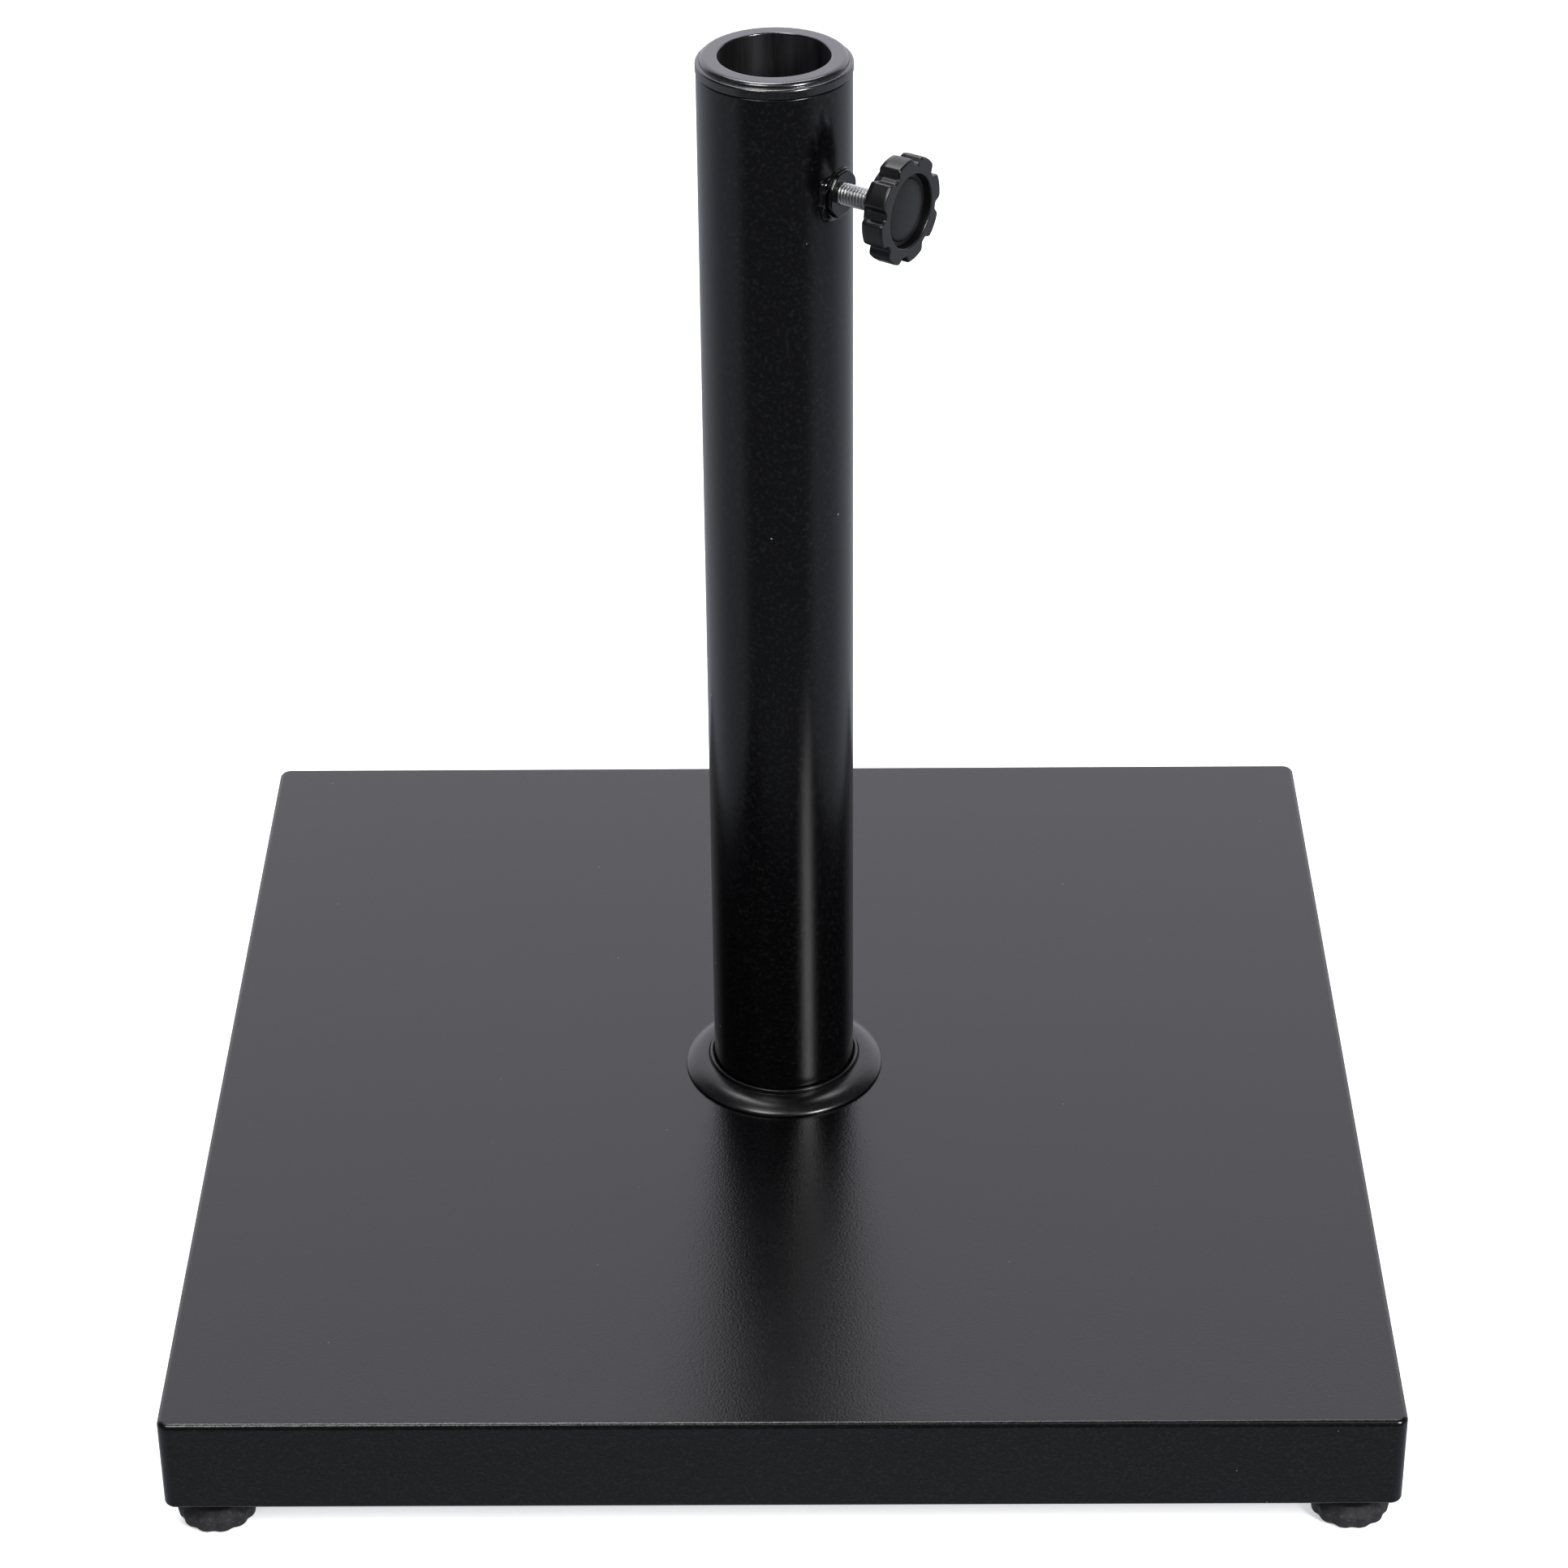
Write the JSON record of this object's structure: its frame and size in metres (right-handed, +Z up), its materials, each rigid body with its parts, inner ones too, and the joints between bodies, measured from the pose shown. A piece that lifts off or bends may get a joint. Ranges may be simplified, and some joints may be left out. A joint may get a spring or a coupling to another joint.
{
  "type": "parasol base",
  "caption": "Square weighted parasol base: steel-clad concrete slab on levelling feet, with an upright post that takes a pole and a lobed knob that clamps it.",
  "frame": {"origin": "on the ground, under the middle of the slab and on the post's axis", "axes": "+Z up along the post, +X to the right and -Y to the front, square to the slab's sides; the clamp points 33.3 degrees from +X towards -Y"},
  "size_m": [0.45, 0.45, 0.485],
  "materials": {
    "satin_black_paint": "satin powder coat",
    "black_plastic": "moulded, semi-gloss",
    "matte_black_plastic": "moulded, matte",
    "bright_zinc": "bright zinc plating",
    "bare_steel": "plain steel sheet",
    "black_rubber": "matte",
    "concrete": "cast concrete"
  },
  "bodies": {
    "base": {"base_shell": "satin_black_paint", "ballast_block": "concrete", "underside_sheet": "bare_steel", "centre_sleeve": "bare_steel", "centre_bolt": "bright_zinc", "centre_spring_washer": "bright_zinc", "centre_plain_washer": "bright_zinc", "post_foot_disc": "bare_steel", "post_anchor_nut": "bright_zinc", "post_tube": "satin_black_paint", "clamp_nut": "satin_black_paint", "clamp_nut_weld": "satin_black_paint", "foot_insert_front_left": "bare_steel", "foot_insert_front_right": "bare_steel", "foot_insert_back_left": "bare_steel", "foot_insert_back_right": "bare_steel"},
    "ring": {"cover_ring": "black_plastic"},
    "bush": {"pole_bush": "black_plastic"},
    "clamp_screw": {"clamp_stud": "bright_zinc"},
    "knob": {"clamp_knob": "black_plastic", "clamp_knob_cap": "black_plastic"},
    "foot_screw_front_left": {"foot_stud_front_left": "bright_zinc"},
    "foot_front_left": {"foot_knob_front_left": "matte_black_plastic", "foot_sole_front_left": "black_rubber"},
    "foot_screw_front_right": {"foot_stud_front_right": "bright_zinc"},
    "foot_front_right": {"foot_knob_front_right": "matte_black_plastic", "foot_sole_front_right": "black_rubber"},
    "foot_screw_back_left": {"foot_stud_back_left": "bright_zinc"},
    "foot_back_left": {"foot_knob_back_left": "matte_black_plastic", "foot_sole_back_left": "black_rubber"},
    "foot_screw_back_right": {"foot_stud_back_right": "bright_zinc"},
    "foot_back_right": {"foot_knob_back_right": "matte_black_plastic", "foot_sole_back_right": "black_rubber"}
  },
  "joints": [
    {"name": "cover_ring_lift", "type": "slide", "parent": "base", "child": "ring", "axis": [0, 0, 1], "range_m": [0, 0.36]},
    {"name": "bush_pull_out", "type": "slide", "parent": "base", "child": "bush", "axis": [0, 0, 1], "range_m": [0, 0.04]},
    {"name": "clamp_travel", "type": "slide", "parent": "base", "child": "clamp_screw", "axis": [0.8358, -0.549, 0], "range_m": [-0.0169, 0.0051]},
    {"name": "knob_turn", "type": "hinge", "parent": "clamp_screw", "child": "knob", "pos_m": [0, 0, 0.439], "axis": [0.8358, -0.549, 0], "range_deg": [-4860, 1440]},
    {"name": "foot_travel_front_left", "type": "slide", "parent": "base", "child": "foot_screw_front_left", "axis": [0, 0, 1], "range_m": [-0.0076, 0.0051]},
    {"name": "foot_turn_front_left", "type": "hinge", "parent": "foot_screw_front_left", "child": "foot_front_left", "pos_m": [-0.208, -0.208, 0], "axis": [0, 0, 1], "range_deg": [-2160, 1440]},
    {"name": "foot_travel_front_right", "type": "slide", "parent": "base", "child": "foot_screw_front_right", "axis": [0, 0, 1], "range_m": [-0.0076, 0.0051]},
    {"name": "foot_turn_front_right", "type": "hinge", "parent": "foot_screw_front_right", "child": "foot_front_right", "pos_m": [0.208, -0.208, 0], "axis": [0, 0, 1], "range_deg": [-2160, 1440]},
    {"name": "foot_travel_back_left", "type": "slide", "parent": "base", "child": "foot_screw_back_left", "axis": [0, 0, 1], "range_m": [-0.0076, 0.0051]},
    {"name": "foot_turn_back_left", "type": "hinge", "parent": "foot_screw_back_left", "child": "foot_back_left", "pos_m": [-0.208, 0.208, 0], "axis": [0, 0, 1], "range_deg": [-2160, 1440]},
    {"name": "foot_travel_back_right", "type": "slide", "parent": "base", "child": "foot_screw_back_right", "axis": [0, 0, 1], "range_m": [-0.0076, 0.0051]},
    {"name": "foot_turn_back_right", "type": "hinge", "parent": "foot_screw_back_right", "child": "foot_back_right", "pos_m": [0.208, 0.208, 0], "axis": [0, 0, 1], "range_deg": [-2160, 1440]}
  ],
  "couplings": [
    {"joint": "clamp_travel", "follows": "knob_turn", "m_per_rad": 0.00019894},
    {"joint": "foot_travel_front_left", "follows": "foot_turn_front_left", "m_per_rad": 0.00019894},
    {"joint": "foot_travel_front_right", "follows": "foot_turn_front_right", "m_per_rad": 0.00019894},
    {"joint": "foot_travel_back_left", "follows": "foot_turn_back_left", "m_per_rad": 0.00019894},
    {"joint": "foot_travel_back_right", "follows": "foot_turn_back_right", "m_per_rad": 0.00019894}
  ]
}
